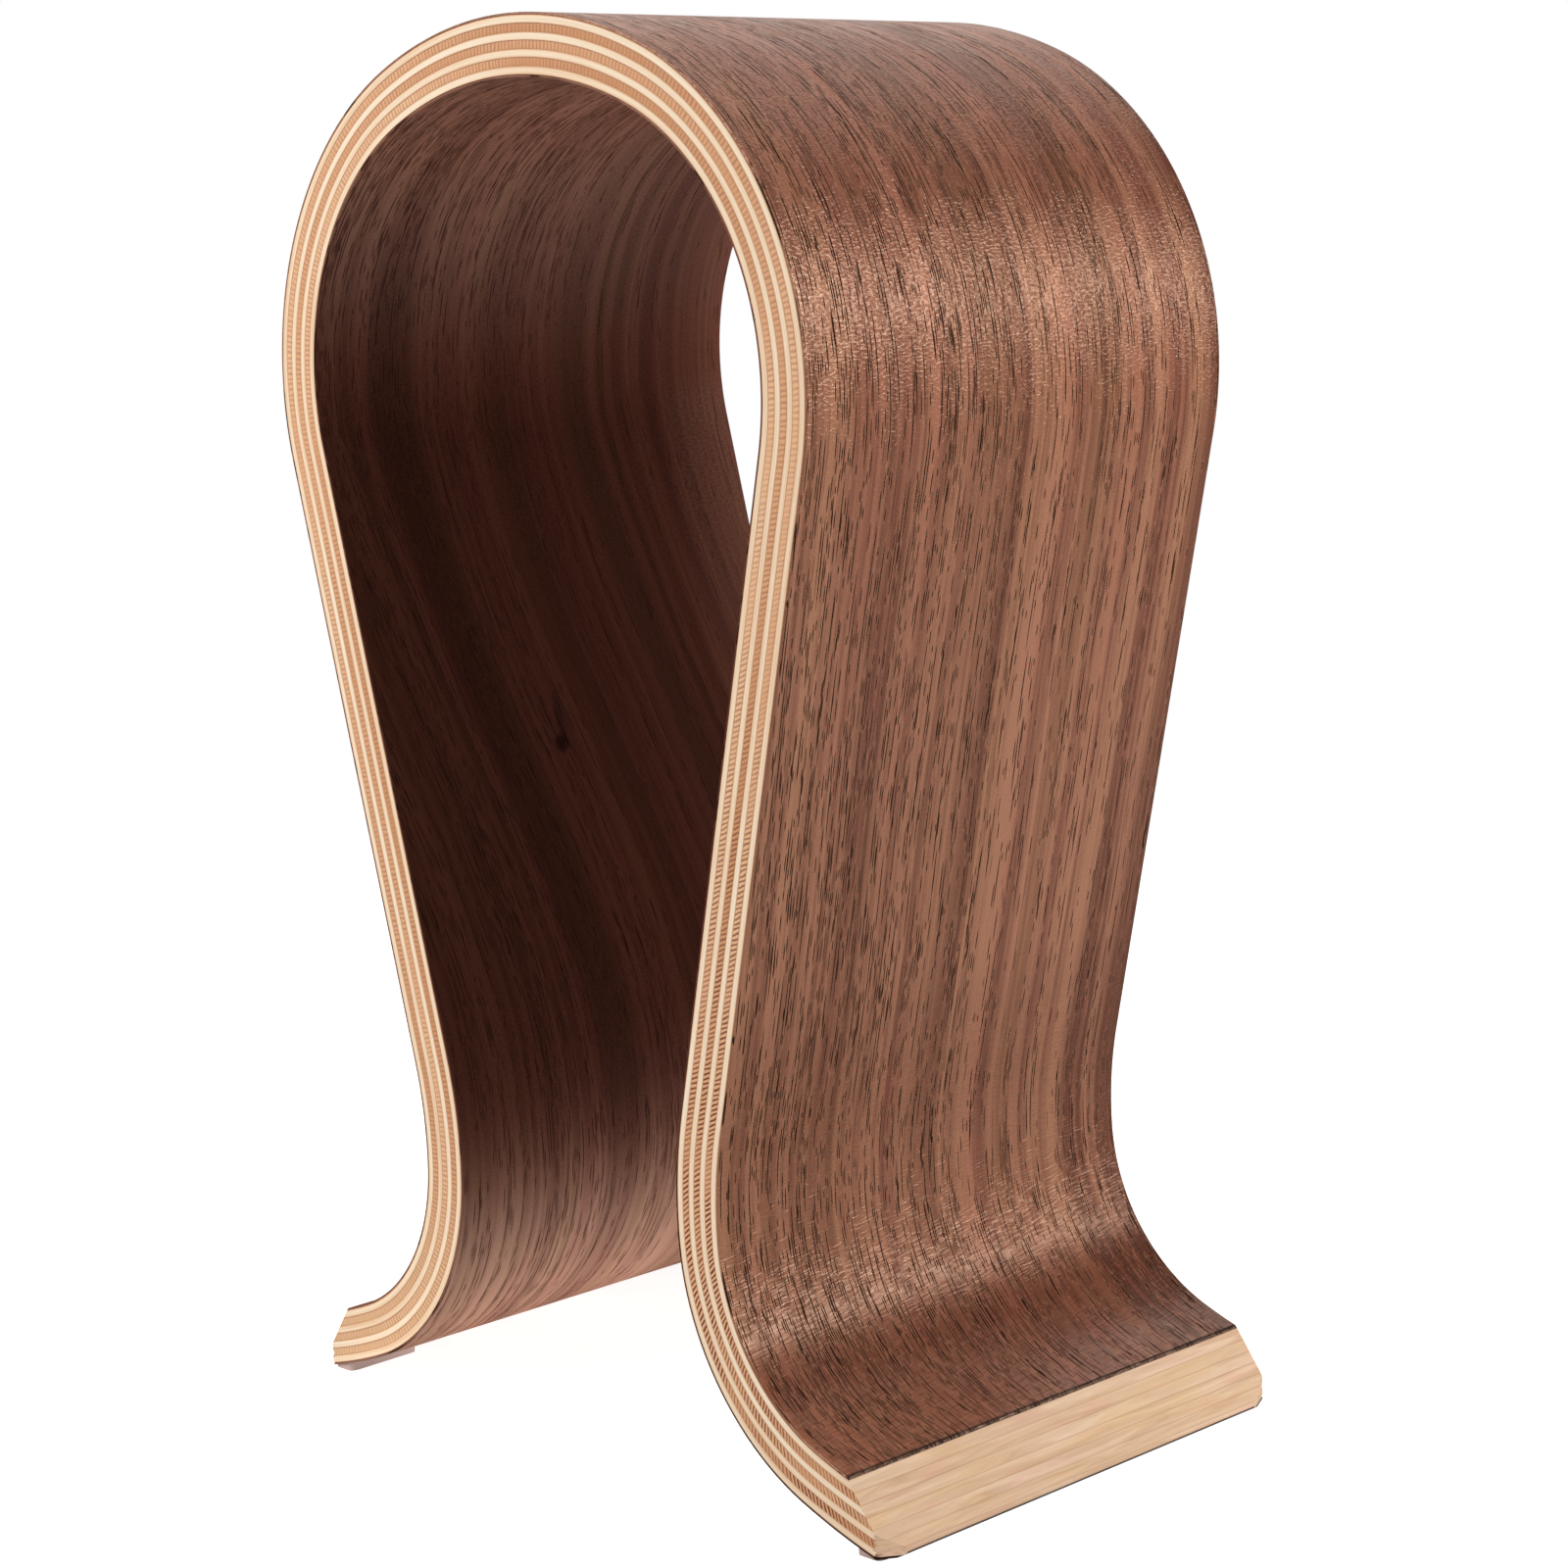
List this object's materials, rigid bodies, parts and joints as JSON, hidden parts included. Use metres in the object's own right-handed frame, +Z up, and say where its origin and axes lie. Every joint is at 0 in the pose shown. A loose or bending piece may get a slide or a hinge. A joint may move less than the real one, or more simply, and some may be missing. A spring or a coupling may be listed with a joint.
{
  "type": "headphone stand",
  "caption": "Omega-shaped headphone stand bent from one strip of walnut-faced laminated plywood, with outswept feet on thin pads.",
  "frame": {"origin": "on the supporting surface, midway between the feet and midway through the depth", "axes": "+Z up, +X from the left foot to the right foot, -Y towards the front edge"},
  "size_m": [0.1748, 0.113, 0.285],
  "materials": {
    "walnut_veneer": "satin oiled walnut face veneer, grain along the strip",
    "long_grain_ply": "sanded pale plywood edge, grain along the strip",
    "cross_grain_ply": "sanded tan plywood edge, end grain showing",
    "anti_slip_pad": "thin soft pad, matt"
  },
  "bodies": {
    "root": {"walnut_veneer_outer": "walnut_veneer", "long_grain_ply_1": "long_grain_ply", "cross_grain_ply_1": "cross_grain_ply", "long_grain_ply_2": "long_grain_ply", "cross_grain_ply_2": "cross_grain_ply", "long_grain_ply_3": "long_grain_ply", "cross_grain_ply_3": "cross_grain_ply", "long_grain_ply_4": "long_grain_ply", "walnut_veneer_inner": "walnut_veneer", "anti_slip_pad_front_left": "anti_slip_pad", "anti_slip_pad_front_right": "anti_slip_pad", "anti_slip_pad_rear_left": "anti_slip_pad", "anti_slip_pad_rear_right": "anti_slip_pad"}
  },
  "joints": []
}
